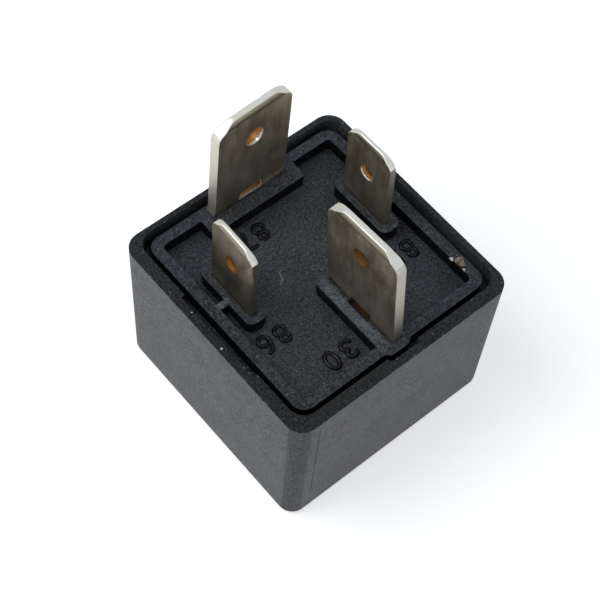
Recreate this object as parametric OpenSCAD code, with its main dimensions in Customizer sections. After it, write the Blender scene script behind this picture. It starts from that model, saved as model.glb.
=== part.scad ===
// Plug-in automotive relay, four blade terminals, mini footprint.
// Origin: centre of the cover's closed end. +Z runs from the closed end to the blades,
// +Y from blade 30 to blade 87, +X from blade 86 to blade 85. All sizes in millimetres.

/* [Cover] */
// Width of the cover across its open rim, along X
cover_w = 28; // [27.4:0.1:32]
// Depth of the cover across its open rim, along Y
cover_d = 28; // [27.4:0.1:32]
// Height of the cover from closed end to rim
cover_h = 19.5; // [18:0.1:26]
// Thickness of the closed end
cover_floor = 1.2; // [0.8:0.1:1.6]
// Radius of the four upright corners
cover_corner_r = 2; // [1.8:0.1:3]
// Rounding of the edge between the walls and the closed end
cover_edge_r = 0.8; // [0.3:0.1:1.2]
// How far each wall leans in from the rim to the closed end
cover_draft = 0.25; // [0.1:0.05:0.4]
// Mean thickness of the four walls at the rim
cover_wall = 1; // [0.9:0.05:1.2]
// Corner radius of the cavity
cavity_corner_r = 1.8; // [1:0.1:2.4]
// How far the cavity and all it holds sit off the cover's centre, along +X and along +Y
cavity_shift = 0.4; // [0:0.05:0.45]
// Depth of the thinned panel that lets the wall beside blade 86 flex when the base snaps in
flex_depth = 0.45; // [0.2:0.05:0.6]
// Length of the thinned panel
flex_len = 11.3; // [6:0.1:16]
// Height of the thinned panel below the rim
flex_h = 4; // [2:0.1:6]
// Offset of the thinned panel's middle along Y
flex_shift = -0.75; // [-2:0.05:2]
// Width of the notch in the rim round the pad of blade 30
notch_w = 4; // [3.8:0.1:6]
// Depth of the notch in the rim
notch_depth = 0.45; // [0.3:0.05:0.6]
// Thickness of the ribs inside the cover
rib_t = 1.2; // [0.8:0.1:1.6]
// How far the ribs stand in from the walls
rib_depth = 0.7; // [0.4:0.05:0.8]
// Distance of each rib from the middle of its wall
rib_offset = 8.6; // [8:0.1:9.4]
// How far the catches that hold the base stand in from the wall
catch_depth = 0.5; // [0.3:0.05:0.55]
// Height of the catches
catch_h = 0.6; // [0.4:0.05:1]
// Length of each catch
catch_len = 3; // [2:0.1:4]

/* [Base plate] */
// How far the top of the base lies below the rim
base_recess = 0.5; // [0.2:0.05:1]
// Width of the step between the cavity's wall and the visible deck
deck_inset = 0.7; // [0.65:0.05:0.8]
// Height of the deck above the skirt
deck_h = 1.8; // [1.7:0.1:2.4]
// Corner radius of the deck
deck_corner_r = 1.5; // [0.8:0.1:2.2]
// Height of the wider skirt that fits the cavity
skirt_h = 1.8; // [1.4:0.1:2.4]
// Gap between the skirt and the cavity wall
skirt_clear = 0.1; // [0.05:0.01:0.2]
// Width of the raised border round the deck
border_t = 1.2; // [0.9:0.05:1.25]
// Depth of the sunk floor below the border and the pads
floor_depth = 1.6; // [1:0.1:1.7]
// Inner corner radius of the border
border_corner_r = 0.5; // [0.3:0.05:1]
// How far the pad of blade 87 stands in front of its blade
pad_87_front = 1.7; // [1.2:0.1:2.4]
// Length of the pad of blade 87, along X
pad_87_len = 12.2; // [11:0.1:13]
// Width of the pad of blade 30, along X
pad_30_w = 3.4; // [2.6:0.1:3.6]
// How far the pad of blade 30 stands out past the deck's edge
pad_30_bulge = 0.48; // [0.2:0.02:0.6]
// How far the pad of blade 30 runs on past the inner edge of its blade
pad_30_end = 0.75; // [0.7:0.05:1.5]
// How far the pad of blade 30 is cut back and down in front of the blade's window
pad_30_relief = 0.4; // [0.2:0.05:0.5]
// Width of the pads of blades 85 and 86
pad_coil_w = 2.5; // [1.8:0.1:2.6]
// How far these two pads run on past each edge of their blades
pad_coil_end = 1.0; // [0.6:0.1:1.4]
// Corner radius of the pads
pad_corner_r = 0.9; // [0.4:0.05:0.9]
// Width of the small web between the border and the pad of blade 86
web_w = 0.75; // [0.5:0.05:1.5]
// How far the top of that web lies below the pad
web_drop = 0.2; // [0.1:0.05:0.6]
// Where that web stands along Y, from the middle of the base
web_y = 2.1; // [0:0.1:4]
// Gap between a blade and its slot in the base
slot_clear = 0.06; // [0.03:0.01:0.12]

/* [Blade terminals] */
// Width of the two load blades, 30 and 87
load_w = 9.5; // [8:0.1:9.6]
// Thickness of the two load blades
load_t = 1.2; // [0.8:0.05:1.4]
// Length of the load blades above the base
load_len = 14; // [10:0.1:16]
// Width of the two coil blades, 85 and 86
coil_w = 6.3; // [4.8:0.1:6.4]
// Thickness of the two coil blades
coil_t = 0.8; // [0.6:0.05:1]
// Length of the coil blades above the base
coil_len = 9.5; // [7.5:0.1:12]
// Distance of blade 30's outer edge from the deck's edge
blade_30_inset = 0.6; // [0.5:0.05:0.7]
// How far blade 30 stands off the middle of its pad, along +X
blade_30_shift = 0.4; // [0:0.05:0.5]
// Distance of blade 87's middle from the deck's edge
blade_87_inset = 1; // [0.9:0.05:1.3]
// Distance of the middle of blades 85 and 86 from the deck's edges
coil_blade_inset = 3.5; // [3.3:0.05:3.7]
// Distance of blades 85 and 86 from the middle of the base, along +Y
coil_blade_y = 2.4; // [2:0.05:2.8]
// Corner chamfer on the tips of the load blades, across the blade
load_chamfer = 1.9; // [1:0.1:2.4]
// Corner chamfer on the tips of the coil blades, across the blade
coil_chamfer = 1.3; // [0.8:0.1:1.8]
// Slope of the corner chamfers: height for each millimetre of width
chamfer_rise = 0.7; // [0.5:0.05:1]
// How far the tip bevel cuts into each face of a load blade
load_bevel = 0.3; // [0.15:0.01:0.35]
// How far the tip bevel cuts into each face of a coil blade
coil_bevel = 0.2; // [0.1:0.01:0.25]
// Height of the tip bevel for each millimetre that it cuts in
bevel_rise = 2.6; // [2:0.1:3]
// Diameter of the locking hole in the load blades
load_hole_d = 2.3; // [1.6:0.1:2.6]
// Distance of that hole from the blade's tip
load_hole_drop = 4.4; // [3.8:0.1:6]
// Diameter of the locking hole in the coil blades
coil_hole_d = 1.9; // [1.4:0.1:2.1]
// Distance of that hole from the blade's tip
coil_hole_drop = 4.3; // [3:0.1:4.8]
// Width of the window at the foot of the load blades
window_w = 3; // [2:0.1:4]
// Height of the window at the foot of the load blades
window_h = 1.1; // [0.7:0.1:1.6]
// Height of the window's sill above the base
window_sill = 0.1; // [0.05:0.05:0.3]

/* [Magnet] */
// Thickness of the iron yoke
yoke_t = 1.5; // [1.2:0.1:1.8]
// Width of the iron yoke
yoke_w = 11; // [10:0.1:11.4]
// Room between the yoke's back and the cavity's wall
yoke_room = 2.4; // [2.2:0.05:2.6]
// Gap between the yoke's leg and the bobbin's flanges
coil_gap = 0.2; // [0.1:0.05:0.4]
// Diameter of the iron core, as a share of the flanges' width
core_share = 0.44; // [0.37:0.01:0.47]
// Diameter of the pole shoe at the end of the core
pole_d = 8.4; // [7:0.1:9]
// Thickness of the pole shoe
pole_t = 0.7; // [0.5:0.05:0.9]
// Wall of the bobbin's tube
bobbin_wall = 0.65; // [0.5:0.05:0.9]
// Thickness of the bobbin's flanges
flange_t = 0.9; // [0.7:0.05:1.1]
// Gap between the bobbin's lower flange and the shelf that holds the fixed contact
shelf_gap = 1.6; // [1.4:0.1:2.2]
// How far the bobbin's flanges stand out past the winding
winding_inset = 0.3; // [0.2:0.1:1.2]
// Diameter of the bared ends of the winding wire
lead_d = 0.5; // [0.3:0.05:0.7]
// Width of the inner legs of blades 85 and 86
leg_w = 2.4; // [1.6:0.1:3]
// How far those legs reach down below the base
leg_len = 5.4; // [5:0.1:6]

/* [Armature and contacts] */
// Thickness of the armature
armature_t = 1.3; // [1:0.05:1.4]
// Length of the armature past the hinge edge
armature_len = 14; // [13.2:0.1:14.4]
// Height of the hinge edge above the closed end
hinge_z = 4.6; // [4.5:0.05:4.9]
// Angle by which the armature stands open at rest
open_angle = 2.5; // [1.5:0.1:2.6]
// Thickness of the contact leaf and of the hinge spring
leaf_t = 0.3; // [0.2:0.02:0.32]
// Width of the contact leaf where it is riveted to the armature
leaf_root_w = 8.6; // [8:0.1:9]
// Width of the contact leaf at the contact
leaf_tip_w = 5; // [4.2:0.1:5.6]
// Distance of the contacts from the middle of blade 87
contact_inset = 2.9; // [2.7:0.1:3.1]
// Diameter of the contacts' faces
contact_d = 3.4; // [2.6:0.1:3.6]
// Height of the fixed contact's head
fixed_head = 0.7; // [0.5:0.05:0.8]
// Height of the moving contact's head
moving_head = 1.15; // [1:0.05:1.2]
// Diameter of the rivets in the armature and in the yoke
rivet_d = 1.6; // [1.2:0.1:1.8]
// Diameter of the rivet heads
rivet_head_d = 2.6; // [2.2:0.1:2.8]
// Height of the rivet heads
rivet_head_h = 0.4; // [0.25:0.05:0.45]
// Width of each leg of the hinge spring
spring_leg_w = 2.2; // [1.6:0.1:2.6]
// Thickness of the back stop strip
stop_t = 0.8; // [0.6:0.05:0.85]
// Width of the back stop strip
stop_w = 2; // [1.6:0.1:2.2]
// Diameter of the flexible braid
braid_d = 1.4; // [1:0.1:1.6]
// Gap between the yoke's side and the braid
braid_clear = 1.2; // [1:0.1:1.4]
// Height above the hinge edge at which the braid leaves the yoke
braid_rise = 4.4; // [3.6:0.1:5]
// Gap left between pieces that touch when the relay works
touch_gap = 0.05; // [0.03:0.01:0.07]

/* [Hidden] */
$fn = 48;
eps = 0.01;

black_plastic = [0.10, 0.10, 0.11];
tin = [0.62, 0.58, 0.52];
iron = [0.45, 0.46, 0.48];
copper = [0.72, 0.42, 0.25];
bronze = [0.76, 0.60, 0.36];
silver = [0.82, 0.82, 0.80];
natural_plastic = [0.86, 0.84, 0.76];

// heights, from the closed end up
base_top = cover_h - base_recess;
skirt_top = base_top - deck_h;
seat_z = skirt_top - skirt_h;
floor_z = base_top - floor_depth;
yoke_foot_z = seat_z - yoke_t;
pole_z = hinge_z + touch_gap;
flange_low_z = pole_z + pole_t;
winding_z = flange_low_z + flange_t;
winding_top = yoke_foot_z - flange_t;
leaf_z = hinge_z - armature_t;
contact_z = leaf_z + moving_head + touch_gap;
shelf_z = contact_z + fixed_head;

// places along X and Y, from the middle of the base
cavity_w = cover_w - 2 * cover_wall;
cavity_d = cover_d - 2 * cover_wall;
skirt_w = cavity_w - 2 * skirt_clear;
skirt_d = cavity_d - 2 * skirt_clear;
deck_w = cavity_w - 2 * deck_inset;
deck_d = cavity_d - 2 * deck_inset;
blade_30_y = deck_d / 2 - blade_30_inset - load_w / 2;
blade_87_y = deck_d / 2 - blade_87_inset;
coil_blade_x = deck_w / 2 - coil_blade_inset;
yoke_back = cavity_d / 2 - yoke_room;
contact_y = blade_87_y - contact_inset;
contact_reach = contact_y + yoke_back;
leg_87_w = 5;
shelf_rim = 0.4;
shelf_edge = contact_y - contact_d / 2 - shelf_rim;
flange_w = yoke_back - yoke_t - coil_gap + shelf_edge - shelf_gap;
coil_axis = yoke_back - yoke_t - coil_gap - flange_w / 2;
winding_d = flange_w - 2 * winding_inset;
core_d = core_share * flange_w;
leaf_end = contact_y + contact_d / 2 + 0.7;
armature_rivet_x = 2.9;
armature_rivet_y = -yoke_back + 3;
yoke_rivet_x = 2.6;
yoke_rivet_z = (seat_z + hinge_z) / 2 + 0.3;
tail_len = 0.8;
tail_x = 2.7;
stop_x = leg_87_w / 2 + 0.9;
spring_top = yoke_rivet_z + 1.8;
spring_low = yoke_rivet_z - 1.8;
tongue_h = seat_z - spring_top - 0.3;
pad_87_y = blade_87_y - load_t / 2 - pad_87_front;
pad_30_low = -deck_d / 2 - pad_30_bulge;
pad_30_high = load_w / 2 - blade_30_y + pad_30_end;
pad_coil_len = coil_w + 2 * pad_coil_end;

// a flat rectangle with round corners, about the origin
module round_rect(w, d, r) {
    square([w - 2 * r, d], center = true);
    square([w, d - 2 * r], center = true);
    for (x = [-1, 1], y = [-1, 1])
        translate([x * (w / 2 - r), y * (d / 2 - r)]) circle(r);
}

// an upright block with round corners, standing on z
module round_block(w, d, r, z, h) {
    translate([0, 0, z]) linear_extrude(h) round_rect(w, d, r);
}

// half of the cover's outline: a leaning side that ends in a round edge at the closed end.
// It runs from x = 0 to the side, which is at x = reach on the rim.
module leaning_half(reach) {
    low = reach - cover_draft;
    edge = low - cover_edge_r;
    polygon([
        [0, 0], [edge, 0], [edge, cover_edge_r], [low, cover_edge_r],
        [reach, cover_h], [0, cover_h]
    ]);
    intersection() {
        translate([edge, cover_edge_r]) circle(cover_edge_r);
        translate([edge, 0]) square(cover_edge_r);
    }
}

// the cover's outer form: leaning walls, conical corners and a rounded closed end
module cover_form() {
    along_x = cover_w - 2 * cover_corner_r;
    along_y = cover_d - 2 * cover_corner_r;
    for (side = [0, 180]) rotate([0, 0, side]) {
        rotate([90, 0, 0]) linear_extrude(along_y, center = true) leaning_half(cover_w / 2);
        rotate([90, 0, 90]) linear_extrude(along_x, center = true) leaning_half(cover_d / 2);
    }
    for (x = [-1, 1], y = [-1, 1])
        translate([x * along_x / 2, y * along_y / 2, 0])
            rotate_extrude() leaning_half(cover_corner_r);
}

// places the children in the frame of the base, whose middle is off the cover's centre
module in_base_frame() {
    translate([cavity_shift, cavity_shift, 0]) children();
}

// one wall of ribs: two ribs on the wall at +Y, from the closed end up to the base's seat
module wall_ribs(reach) {
    for (x = [-1, 1])
        translate([x * rib_offset - rib_t / 2, reach - rib_depth, cover_floor - eps])
            cube([rib_t, rib_depth + eps, seat_z - cover_floor + eps]);
}

// a catch on the wall at +Y: its upper face slopes so that the base can be pushed past it
module catch_ridge(reach) {
    rotate([90, 0, 90]) linear_extrude(catch_len, center = true) polygon([
        [reach + eps, skirt_top + touch_gap],
        [reach - catch_depth, skirt_top + touch_gap],
        [reach, skirt_top + touch_gap + catch_h],
        [reach + eps, skirt_top + touch_gap + catch_h]
    ]);
}

module cover() {
    color(black_plastic) {
        difference() {
            cover_form();
            in_base_frame() {
                round_block(cavity_w, cavity_d, cavity_corner_r, cover_floor, cover_h);
                translate([-cavity_w / 2, flex_shift, cover_h])
                    cube([2 * flex_depth, flex_len, 2 * flex_h], center = true);
                translate([0, -cavity_d / 2, skirt_top])
                    linear_extrude(cover_h) round_rect(notch_w, 2 * notch_depth, notch_depth - eps);
            }
        }
        in_base_frame() {
            wall_ribs(cavity_d / 2);
            rotate([0, 0, 180]) wall_ribs(cavity_d / 2);
            rotate([0, 0, 90]) wall_ribs(cavity_w / 2);
            rotate([0, 0, -90]) wall_ribs(cavity_w / 2);
            catch_ridge(cavity_d / 2);
            for (x = [-1, 1]) translate([x * rib_offset * 0.75, 0, 0])
                rotate([0, 0, 180]) catch_ridge(cavity_d / 2);
        }
    }
}

// the flat outline of the sunk floor: inside the border and outside the four pads
module floor_outline() {
    difference() {
        round_rect(deck_w - 2 * border_t, deck_d - 2 * border_t, border_corner_r);
        translate([0, pad_87_y + deck_d / 2])
            round_rect(pad_87_len, deck_d, pad_corner_r / 2);
        translate([0, (pad_30_low + pad_30_high) / 2])
            round_rect(pad_30_w, pad_30_high - pad_30_low, pad_corner_r);
        for (x = [-1, 1]) translate([x * coil_blade_x, coil_blade_y])
            round_rect(pad_coil_w, pad_coil_len, pad_corner_r);
    }
}

// one upright slot for a blade that is w wide along X and t thick along Y
module blade_slot(w, t) {
    translate([0, 0, seat_z + base_top])
        cube([w + 2 * slot_clear, t + 2 * slot_clear, 2 * base_top], center = true);
}

module base_plate() {
    web_x = coil_blade_x + pad_coil_w / 2 - eps;
    web_len = deck_w / 2 - border_t - web_x + 2 * eps;
    color(black_plastic) in_base_frame() difference() {
        union() {
            round_block(skirt_w, skirt_d, cavity_corner_r - skirt_clear, seat_z, skirt_h);
            difference() {
                union() {
                    round_block(deck_w, deck_d, deck_corner_r, skirt_top - eps, deck_h + eps);
                    translate([0, (pad_30_low + pad_30_high) / 2, 0])
                        round_block(pad_30_w, pad_30_high - pad_30_low, pad_corner_r,
                            skirt_top - eps, deck_h + eps);
                }
                translate([0, 0, floor_z]) linear_extrude(deck_h) floor_outline();
            }
            translate([-web_x - web_len, web_y - web_w / 2, floor_z - eps])
                cube([web_len, web_w, floor_depth - web_drop + eps]);
        }
        translate([blade_30_shift, -blade_30_y, 0]) rotate([0, 0, 90])
            blade_slot(load_w, load_t);
        translate([blade_30_shift - load_t / 2, -blade_30_y, base_top])
            cube([2 * pad_30_relief, window_w, 2 * pad_30_relief], center = true);
        translate([0, blade_87_y, 0]) blade_slot(load_w, load_t);
        for (x = [-1, 1]) translate([x * coil_blade_x, coil_blade_y, 0])
            rotate([0, 0, 90]) blade_slot(coil_w, coil_t);
    }
}

// a straight blade, w wide along X and t thick along Y, from the base's seat to z = tip.
// Its tip has chamfered corners and a bevel on both faces.
module blade(w, t, tip, chamfer, bevel, hole_d, hole_drop) {
    rise = chamfer * chamfer_rise;
    difference() {
        intersection() {
            rotate([90, 0, 0]) linear_extrude(t, center = true) polygon([
                [-w / 2, seat_z], [w / 2, seat_z],
                [w / 2, tip - rise], [w / 2 - chamfer, tip],
                [-w / 2 + chamfer, tip], [-w / 2, tip - rise]
            ]);
            rotate([90, 0, 90]) linear_extrude(w, center = true) polygon([
                [-t / 2, seat_z], [t / 2, seat_z],
                [t / 2, tip - bevel * bevel_rise], [t / 2 - bevel, tip],
                [-t / 2 + bevel, tip], [-t / 2, tip - bevel * bevel_rise]
            ]);
        }
        translate([0, 0, tip - hole_drop]) rotate([90, 0, 0])
            cylinder(d = hole_d, h = 2 * t, center = true);
    }
}

module load_blade() {
    difference() {
        blade(load_w, load_t, base_top + load_len, load_chamfer, load_bevel,
            load_hole_d, load_hole_drop);
        translate([0, 0, base_top + window_sill + window_h / 2])
            cube([window_w, 2 * load_t, window_h], center = true);
    }
}

module coil_blade() {
    blade(coil_w, coil_t, base_top + coil_len, coil_chamfer, coil_bevel,
        coil_hole_d, coil_hole_drop);
}

// blade 30: a short tongue below the base is welded to the yoke's back
module terminal_30() {
    low = -blade_30_y - load_w / 2;
    color(tin) in_base_frame() translate([blade_30_shift, 0, 0]) {
        translate([0, -blade_30_y, 0]) rotate([0, 0, 90]) load_blade();
        translate([-load_t / 2, low, seat_z - tongue_h])
            cube([load_t, -yoke_back - low, tongue_h + eps]);
    }
}

// blade 87: its leg runs down beside the coil and turns in to a shelf for the fixed contact
module terminal_87() {
    face = blade_87_y + load_t / 2;
    color(tin) in_base_frame() difference() {
        union() {
            translate([0, blade_87_y, 0]) load_blade();
            translate([-leg_87_w / 2, face - load_t, shelf_z])
                cube([leg_87_w, load_t, seat_z - shelf_z + eps]);
            translate([-leg_87_w / 2, shelf_edge, shelf_z])
                cube([leg_87_w, face - shelf_edge, load_t]);
        }
        translate([0, contact_y, shelf_z])
            cylinder(d = contact_d / 2 + 2 * touch_gap, h = 3 * load_t, center = true);
    }
}

// blades 85 and 86: a narrow leg below the base takes the end of the winding wire
module coil_terminal(side) {
    color(tin) in_base_frame() translate([side * coil_blade_x, coil_blade_y, 0]) {
        rotate([0, 0, 90]) coil_blade();
        translate([-coil_t / 2, -leg_w / 2, seat_z - leg_len])
            cube([coil_t, leg_w, leg_len + eps]);
    }
}

module terminal_85() {
    coil_terminal(1);
}

module terminal_86() {
    coil_terminal(-1);
}

// the bobbin: a tube with a square flange at each end, and two ears that guide the coil legs
module coil_bobbin() {
    ear_x = coil_blade_x + coil_t / 2 + 0.8;
    color(natural_plastic) in_base_frame() difference() {
        union() {
            translate([0, -coil_axis, 0]) {
                round_block(flange_w, flange_w, 1, flange_low_z, flange_t);
                round_block(flange_w, flange_w, 1, winding_top, flange_t);
                translate([0, 0, flange_low_z])
                    cylinder(d = core_d + 2 * bobbin_wall, h = yoke_foot_z - flange_low_z);
            }
            translate([-ear_x, coil_blade_y - leg_w / 2 - 0.8, winding_top])
                cube([2 * ear_x, leg_w + 1.6, flange_t]);
        }
        translate([0, -coil_axis, 0]) cylinder(d = core_d + 2 * touch_gap, h = cover_h);
        for (x = [-1, 1]) translate([x * coil_blade_x, coil_blade_y, 0])
            cube([coil_t + 2 * slot_clear, leg_w + 2 * slot_clear, 2 * cover_h], center = true);
    }
}

// the winding, with its two wire ends led out to the legs of blades 85 and 86
module coil_winding() {
    lead_x = winding_d / 2 - lead_d / 2;
    lead_z = winding_top - 1;
    end_x = coil_blade_x - coil_t / 2;
    color(copper) in_base_frame() {
        translate([0, -coil_axis, winding_z + touch_gap]) difference() {
            cylinder(d = winding_d, h = winding_top - winding_z - 2 * touch_gap);
            translate([0, 0, -1])
                cylinder(d = core_d + 2 * bobbin_wall + 2 * touch_gap, h = cover_h);
        }
        for (x = [-1, 1]) {
            translate([x * lead_x, -coil_axis, lead_z]) rotate([-90, 0, 0])
                cylinder(d = lead_d, h = coil_axis + coil_blade_y);
            translate([x * lead_x, coil_blade_y, lead_z]) sphere(d = lead_d);
            translate([x * lead_x, coil_blade_y, lead_z]) rotate([0, x * 90, 0])
                cylinder(d = lead_d, h = end_x - lead_x);
        }
    }
}

// the core: a turned iron pin with a pole shoe, staked in the yoke's foot
module core() {
    color(iron) in_base_frame() translate([0, -coil_axis, pole_z]) {
        cylinder(d = pole_d, h = pole_t - touch_gap);
        cylinder(d = core_d, h = seat_z - pole_z);
    }
}

// the yoke: one bent plate, its foot over the coil and its leg beside it
module yoke() {
    foot_len = yoke_back - coil_axis + pole_d / 2 + 2;
    color(iron) in_base_frame() difference() {
        union() {
            translate([-yoke_w / 2, -yoke_back, yoke_foot_z])
                cube([yoke_w, foot_len, yoke_t]);
            translate([-yoke_w / 2, -yoke_back, pole_z])
                cube([yoke_w, yoke_t, seat_z - pole_z]);
        }
        translate([0, -coil_axis, 0]) cylinder(d = core_d + 2 * touch_gap, h = cover_h);
        for (x = [-1, 1]) translate([x * yoke_rivet_x, -yoke_back, yoke_rivet_z])
            rotate([90, 0, 0]) cylinder(d = rivet_d, h = 4 * yoke_t, center = true);
    }
}

// places the children on the armature: flat at y = 0 from the hinge edge when closed,
// and leaning open by open_angle at rest
module on_armature() {
    in_base_frame() translate([0, -yoke_back, hinge_z]) rotate([-open_angle, 0, 0])
        translate([0, 0, -hinge_z]) children();
}

module rivet_places() {
    for (x = [-1, 1])
        translate([x * armature_rivet_x, armature_rivet_y + yoke_back, 0]) children();
}

// the armature: a flat iron plate with two small tails past the hinge edge
module armature() {
    color(iron) on_armature() difference() {
        translate([0, 0, leaf_z]) linear_extrude(armature_t) {
            translate([-yoke_w / 2, 0]) square([yoke_w, armature_len - 1]);
            translate([-yoke_w / 2 + 1, 0]) square([yoke_w - 2, armature_len]);
            for (x = [-1, 1]) translate([x * (yoke_w / 2 - 1), armature_len - 1]) circle(1);
            for (x = [-1, 1]) translate([x * (tail_x + spring_leg_w / 2) - 1, -tail_len])
                square([2, tail_len + eps]);
        }
        rivet_places() cylinder(d = rivet_d, h = cover_h);
    }
}

// the contact leaf: wide where it is riveted on, narrower towards the contact
module contact_leaf() {
    start = armature_rivet_y + yoke_back - 1.8;
    finish = leaf_end + yoke_back;
    color(bronze) on_armature() difference() {
        translate([0, 0, leaf_z - leaf_t]) linear_extrude(leaf_t) {
            polygon([
                [-leaf_root_w / 2, start], [leaf_root_w / 2, start],
                [leaf_root_w / 2, start + 4], [leaf_tip_w / 2, contact_reach - 3],
                [leaf_tip_w / 2, finish - 0.8], [leaf_tip_w / 2 - 0.8, finish],
                [-leaf_tip_w / 2 + 0.8, finish], [-leaf_tip_w / 2, finish - 0.8],
                [-leaf_tip_w / 2, contact_reach - 3], [-leaf_root_w / 2, start + 4]
            ]);
        }
        rivet_places() cylinder(d = rivet_d, h = cover_h);
        translate([0, contact_reach, 0]) cylinder(d = contact_d / 2, h = cover_h);
    }
}

// the moving contact: a silver-faced rivet through the leaf
module moving_contact() {
    color(silver) on_armature() translate([0, contact_reach, 0]) {
        translate([0, 0, leaf_z]) cylinder(d = contact_d, h = moving_head);
        translate([0, 0, leaf_z - leaf_t - eps])
            cylinder(d = contact_d / 2, h = leaf_t + 2 * eps);
        translate([0, 0, leaf_z - leaf_t - rivet_head_h])
            cylinder(d = rivet_head_d, h = rivet_head_h);
    }
}

// the fixed contact: a silver-faced rivet in the shelf of terminal 87
module fixed_contact() {
    color(silver) in_base_frame() translate([0, contact_y, contact_z]) {
        cylinder(d = contact_d, h = fixed_head);
        cylinder(d = contact_d / 2, h = fixed_head + load_t + eps);
        translate([0, 0, fixed_head + load_t]) cylinder(d = rivet_head_d, h = rivet_head_h);
    }
}

// the back stop: a strip beside terminal 87 that hooks under the leaf's end
module back_stop() {
    face = blade_87_y + load_t / 2;
    reach = leaf_end + yoke_back;
    leaf_low = hinge_z - reach * sin(open_angle) - (armature_t + leaf_t) * cos(open_angle);
    top = leaf_low - touch_gap;
    color(iron) in_base_frame() {
        translate([stop_x, face - stop_t, cover_floor])
            cube([stop_w, stop_t, seat_z - cover_floor]);
        translate([-leaf_tip_w / 2, leaf_end - 0.9, cover_floor])
            cube([stop_x + leaf_tip_w / 2 + stop_w, face - leaf_end + 0.9, top - cover_floor]);
    }
}

// a strip of leaf metal seen from its edge: straight runs between points, with round bends
module strip_profile(points, t) {
    for (i = [0 : len(points) - 2]) {
        run = points[i + 1] - points[i];
        translate(points[i]) rotate(atan2(run[1], run[0]))
            translate([0, -t / 2]) square([norm(run), t]);
    }
    for (i = [1 : len(points) - 2]) translate(points[i]) circle(d = t);
}

// the hinge spring: riveted to the yoke's back, its two legs hook under the armature's tails
module hinge_spring() {
    back = -yoke_back - leaf_t / 2;
    out = -yoke_back - tail_len - 0.5;
    under = leaf_z - leaf_t / 2 - 3 * touch_gap;
    color(bronze) in_base_frame() difference() {
        union() {
            translate([-tail_x - spring_leg_w, -yoke_back - leaf_t, spring_low])
                cube([2 * tail_x + 2 * spring_leg_w, leaf_t, spring_top - spring_low]);
            for (x = [-1, 1]) translate([x * (tail_x + spring_leg_w / 2), 0, 0])
                rotate([90, 0, 90]) linear_extrude(spring_leg_w, center = true)
                    strip_profile([
                        [back, spring_low + 0.5], [back, spring_low - 0.4],
                        [out, hinge_z + 0.6], [out, under + 0.5],
                        [out + 0.5, under], [out + 1.1, under]
                    ], leaf_t);
        }
        for (x = [-1, 1]) translate([x * yoke_rivet_x, -yoke_back, yoke_rivet_z])
            rotate([90, 0, 0]) cylinder(d = rivet_d, h = 4 * yoke_t, center = true);
    }
}

module armature_rivets() {
    color(iron) on_armature() rivet_places() {
        translate([0, 0, leaf_z - leaf_t]) cylinder(d = rivet_d, h = leaf_t + armature_t);
        translate([0, 0, leaf_z - leaf_t - rivet_head_h])
            cylinder(d = rivet_head_d, h = rivet_head_h);
    }
}

module yoke_rivets() {
    shank = yoke_t + leaf_t;
    color(iron) in_base_frame() for (x = [-1, 1])
        translate([x * yoke_rivet_x, -yoke_back - leaf_t, yoke_rivet_z]) rotate([-90, 0, 0]) {
            cylinder(d = rivet_d, h = shank);
            translate([0, 0, -rivet_head_h]) cylinder(d = rivet_head_d, h = rivet_head_h);
        }
}

// a point on the smooth curve through four neighbouring points, at t from 0 to 1
function curve_point(a, b, c, d, t) =
    0.5 * ((2 * b) + (c - a) * t + (2 * a - 5 * b + 4 * c - d) * t * t
        + (3 * b - a - 3 * c + d) * t * t * t);

// the smooth curve through all the points of a route, in steps between each two of them
function smooth_route(p, steps) = let(last = len(p) - 1) [
    for (i = [0 : last - 1], k = [0 : steps - 1])
        curve_point(p[max(i - 1, 0)], p[i], p[i + 1], p[min(i + 2, last)], k / steps),
    p[last]
];

// a round tube of the given diameter swept along a route, with eight sides
module swept_tube(route, d) {
    n = len(route);
    sides = 8;
    ring_points = [
        for (i = [0 : n - 1])
            let(
                run = route[min(i + 1, n - 1)] - route[max(i - 1, 0)],
                ahead = run / norm(run),
                across = cross(ahead, [1, 0.3, 0.2]),
                u = across / norm(across),
                v = cross(ahead, u)
            )
            for (k = [0 : sides - 1])
                route[i] + d / 2 * (cos(k * 360 / sides) * u + sin(k * 360 / sides) * v)
    ];
    walls = [
        for (i = [0 : n - 2], k = [0 : sides - 1])
            let(a = i * sides + k, b = i * sides + (k + 1) % sides)
                [a, a + sides, b + sides, b]
    ];
    start_cap = [for (k = [0 : sides - 1]) k];
    end_cap = [for (k = [0 : sides - 1]) n * sides - 1 - k];
    polyhedron(ring_points, concat([start_cap, end_cap], walls));
}

// the braid: from the yoke's side, round the armature, to the edge of the contact leaf
module flex_braid() {
    side = -yoke_w / 2 - braid_d / 2 - braid_clear;
    end_x = -leaf_tip_w / 2 - braid_d / 2 - 2 * touch_gap;
    route = [
        [-yoke_w / 2 - braid_d / 2, -yoke_back + 0.7 * braid_d, hinge_z + braid_rise],
        [side - braid_d / 7, -yoke_back + braid_d, hinge_z + braid_d],
        [side, -yoke_back + 3 * braid_d, leaf_z - braid_d / 7],
        [side, 0, leaf_z - braid_d / 2],
        [end_x - braid_d, contact_y - 1.5 * braid_d, leaf_z - 0.64 * braid_d],
        [end_x, contact_y + leaf_t, leaf_z - 0.68 * braid_d]
    ];
    color(copper) in_base_frame() swept_tube(smooth_route(route, 5), braid_d);
}

cover();
base_plate();
terminal_30();
terminal_87();
terminal_85();
terminal_86();
coil_bobbin();
coil_winding();
core();
yoke();
armature();
contact_leaf();
moving_contact();
fixed_contact();
back_stop();
hinge_spring();
armature_rivets();
yoke_rivets();
flex_braid();
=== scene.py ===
# %% [markdown]
# # An automotive relay, dressed for a close look
# The relay stands on the closed end of its black cover. The open end shows the moulded
# base with four numbered blade terminals. The solids come from the part's own source; this
# script gives them the finish of the real thing: glass-filled plastic with a fine speckle,
# and tin-plated brass that was punched out of sheet. Everything is in metres.

import math

import bmesh
import bpy
import numpy as np
from mathutils import Matrix, Vector


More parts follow.
